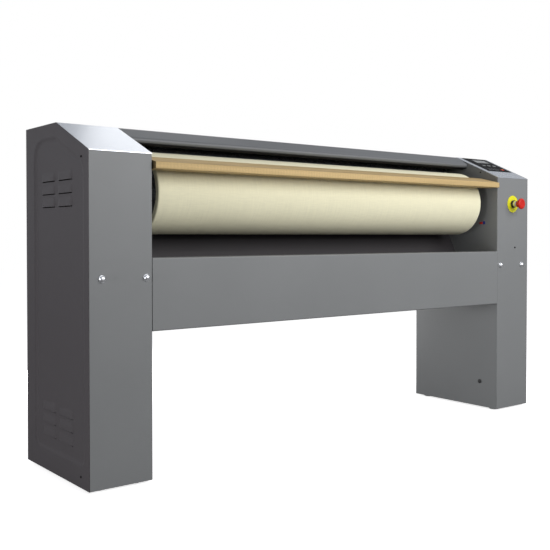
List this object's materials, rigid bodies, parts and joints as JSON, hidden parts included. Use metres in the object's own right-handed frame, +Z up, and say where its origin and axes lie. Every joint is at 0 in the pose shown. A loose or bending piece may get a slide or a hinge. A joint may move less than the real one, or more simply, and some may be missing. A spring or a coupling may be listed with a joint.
{
  "type": "flatwork ironer",
  "caption": "Wall-type flatwork ironer: padded roll and heated chest between two sheet-metal columns, with a beech feed board and a deep front beam.",
  "frame": {"origin": "on the floor, under the middle of the bounding box", "axes": "+X along the roll towards the control column, +Y towards the back, +Z up"},
  "size_m": [1.985, 0.515, 1.042],
  "materials": {
    "grey_paint": "fine satin powder coat, mid grey",
    "dark_paint": "satin powder coat, dark grey",
    "hood_paint": "satin powder coat, grey",
    "black_paint": "matt heat-resistant black",
    "stainless": "fine brushed stainless",
    "zinc_steel": "zinc-plated and turned steel",
    "polished_aluminium": "polished ironing face",
    "cast_iron": "dark painted casting",
    "chrome": "bright plated",
    "beech": "oiled beech",
    "roll_cloth": "woven ironer cloth over felt, cream",
    "black_plastic": "moulded",
    "grey_plastic": "moulded",
    "red_plastic": "moulded, glossy",
    "yellow_plastic": "moulded"
  },
  "bodies": {
    "cabinet": {"left_casing": "grey_paint", "right_casing": "grey_paint", "left_side_panel": "dark_paint", "right_side_panel": "dark_paint", "left_frame": "zinc_steel", "right_frame": "zinc_steel", "left_slope_plate": "stainless", "control_fascia": "stainless", "left_outer_dome_bolt": "chrome", "left_inner_dome_bolt": "chrome", "right_outer_dome_bolt": "chrome", "right_inner_dome_bolt": "chrome", "front_beam": "grey_paint", "hood": "hood_paint", "hood_shield": "black_paint", "rear_cover": "dark_paint", "bottom_pan": "dark_paint", "linen_trough": "dark_paint", "left_bearing": "cast_iron", "right_bearing": "cast_iron", "gearbox": "cast_iron", "drive_motor": "cast_iron", "left_chest_spring": "zinc_steel", "right_chest_spring": "zinc_steel", "guard_switch": "black_plastic", "control_membrane": "black_plastic", "display_window": "grey_plastic", "stop_ring": "yellow_plastic", "stop_collar": "black_plastic", "control_box": "grey_plastic", "cable_gland": "black_plastic", "column_plug": "black_plastic"},
    "roll": {"roll_tube": "zinc_steel", "roll_padding": "roll_cloth", "left_journal": "zinc_steel", "right_journal": "zinc_steel", "roll_gear": "cast_iron"},
    "pinion": {"drive_pinion": "zinc_steel"},
    "chest": {"heated_chest": "polished_aluminium", "heating_element": "zinc_steel", "chest_cover": "stainless", "left_chest_arm": "zinc_steel", "right_chest_arm": "zinc_steel"},
    "board": {"feed_board": "beech", "left_board_pin": "zinc_steel", "right_board_pin": "zinc_steel"},
    "stop_plunger": {"stop_stem": "chrome"},
    "stop_knob": {"stop_head": "red_plastic"},
    "key_down": {"down_key": "grey_plastic"},
    "key_up": {"up_key": "grey_plastic"},
    "key_start": {"start_key": "grey_plastic"},
    "key_stop": {"stop_key": "red_plastic"},
    "foot_left_front_outer": {"left_front_outer_foot": "zinc_steel"},
    "foot_left_front_inner": {"left_front_inner_foot": "zinc_steel"},
    "foot_left_rear_outer": {"left_rear_outer_foot": "zinc_steel"},
    "foot_left_rear_inner": {"left_rear_inner_foot": "zinc_steel"},
    "foot_right_front_outer": {"right_front_outer_foot": "zinc_steel"},
    "foot_right_front_inner": {"right_front_inner_foot": "zinc_steel"},
    "foot_right_rear_outer": {"right_rear_outer_foot": "zinc_steel"},
    "foot_right_rear_inner": {"right_rear_inner_foot": "zinc_steel"}
  },
  "joints": [
    {"name": "roll_spin", "type": "hinge", "parent": "cabinet", "child": "roll", "pos_m": [0, -0.0375, 0.842], "axis": [1, 0, 0], "continuous": true},
    {"name": "pinion_spin", "type": "hinge", "parent": "cabinet", "child": "pinion", "pos_m": [-0.8575, -0.0375, 0.6917], "axis": [1, 0, 0], "continuous": true},
    {"name": "chest_swing", "type": "hinge", "parent": "cabinet", "child": "chest", "pos_m": [0, 0.0595, 0.61], "axis": [1, 0, 0], "range_deg": [0, 2.5], "deforming": ["left_chest_spring", "right_chest_spring"]},
    {"name": "board_tilt", "type": "hinge", "parent": "cabinet", "child": "board", "pos_m": [0, -0.1905, 0.914], "axis": [1, 0, 0], "range_deg": [0, 8], "stiffness_Nm_per_rad": 2},
    {"name": "stop_push", "type": "slide", "parent": "cabinet", "child": "stop_plunger", "axis": [0, 1, 0], "range_m": [0, 0.005]},
    {"name": "stop_turn", "type": "hinge", "parent": "stop_plunger", "child": "stop_knob", "pos_m": [0.891, -0.2095, 0.841], "axis": [0, 1, 0], "range_deg": [0, 45], "stiffness_Nm_per_rad": 0.05},
    {"name": "down_key_press", "type": "slide", "parent": "cabinet", "child": "key_down", "axis": [0, 0.4053, -0.9142], "range_m": [0, 0.001], "stiffness_N_per_m": 300, "springref_m": -0.001},
    {"name": "up_key_press", "type": "slide", "parent": "cabinet", "child": "key_up", "axis": [0, 0.4053, -0.9142], "range_m": [0, 0.001], "stiffness_N_per_m": 300, "springref_m": -0.001},
    {"name": "start_key_press", "type": "slide", "parent": "cabinet", "child": "key_start", "axis": [0, 0.4053, -0.9142], "range_m": [0, 0.001], "stiffness_N_per_m": 300, "springref_m": -0.001},
    {"name": "stop_key_press", "type": "slide", "parent": "cabinet", "child": "key_stop", "axis": [0, 0.4053, -0.9142], "range_m": [0, 0.001], "stiffness_N_per_m": 300, "springref_m": -0.001},
    {"name": "left_front_outer_level", "type": "slide", "parent": "cabinet", "child": "foot_left_front_outer", "axis": [0, 0, -1], "range_m": [0, 0.015]},
    {"name": "left_front_inner_level", "type": "slide", "parent": "cabinet", "child": "foot_left_front_inner", "axis": [0, 0, -1], "range_m": [0, 0.015]},
    {"name": "left_rear_outer_level", "type": "slide", "parent": "cabinet", "child": "foot_left_rear_outer", "axis": [0, 0, -1], "range_m": [0, 0.015]},
    {"name": "left_rear_inner_level", "type": "slide", "parent": "cabinet", "child": "foot_left_rear_inner", "axis": [0, 0, -1], "range_m": [0, 0.015]},
    {"name": "right_front_outer_level", "type": "slide", "parent": "cabinet", "child": "foot_right_front_outer", "axis": [0, 0, -1], "range_m": [0, 0.015]},
    {"name": "right_front_inner_level", "type": "slide", "parent": "cabinet", "child": "foot_right_front_inner", "axis": [0, 0, -1], "range_m": [0, 0.015]},
    {"name": "right_rear_outer_level", "type": "slide", "parent": "cabinet", "child": "foot_right_rear_outer", "axis": [0, 0, -1], "range_m": [0, 0.015]},
    {"name": "right_rear_inner_level", "type": "slide", "parent": "cabinet", "child": "foot_right_rear_inner", "axis": [0, 0, -1], "range_m": [0, 0.015]}
  ],
  "couplings": [
    {"joint": "pinion_spin", "follows": "roll_spin", "ratio": -3}
  ]
}
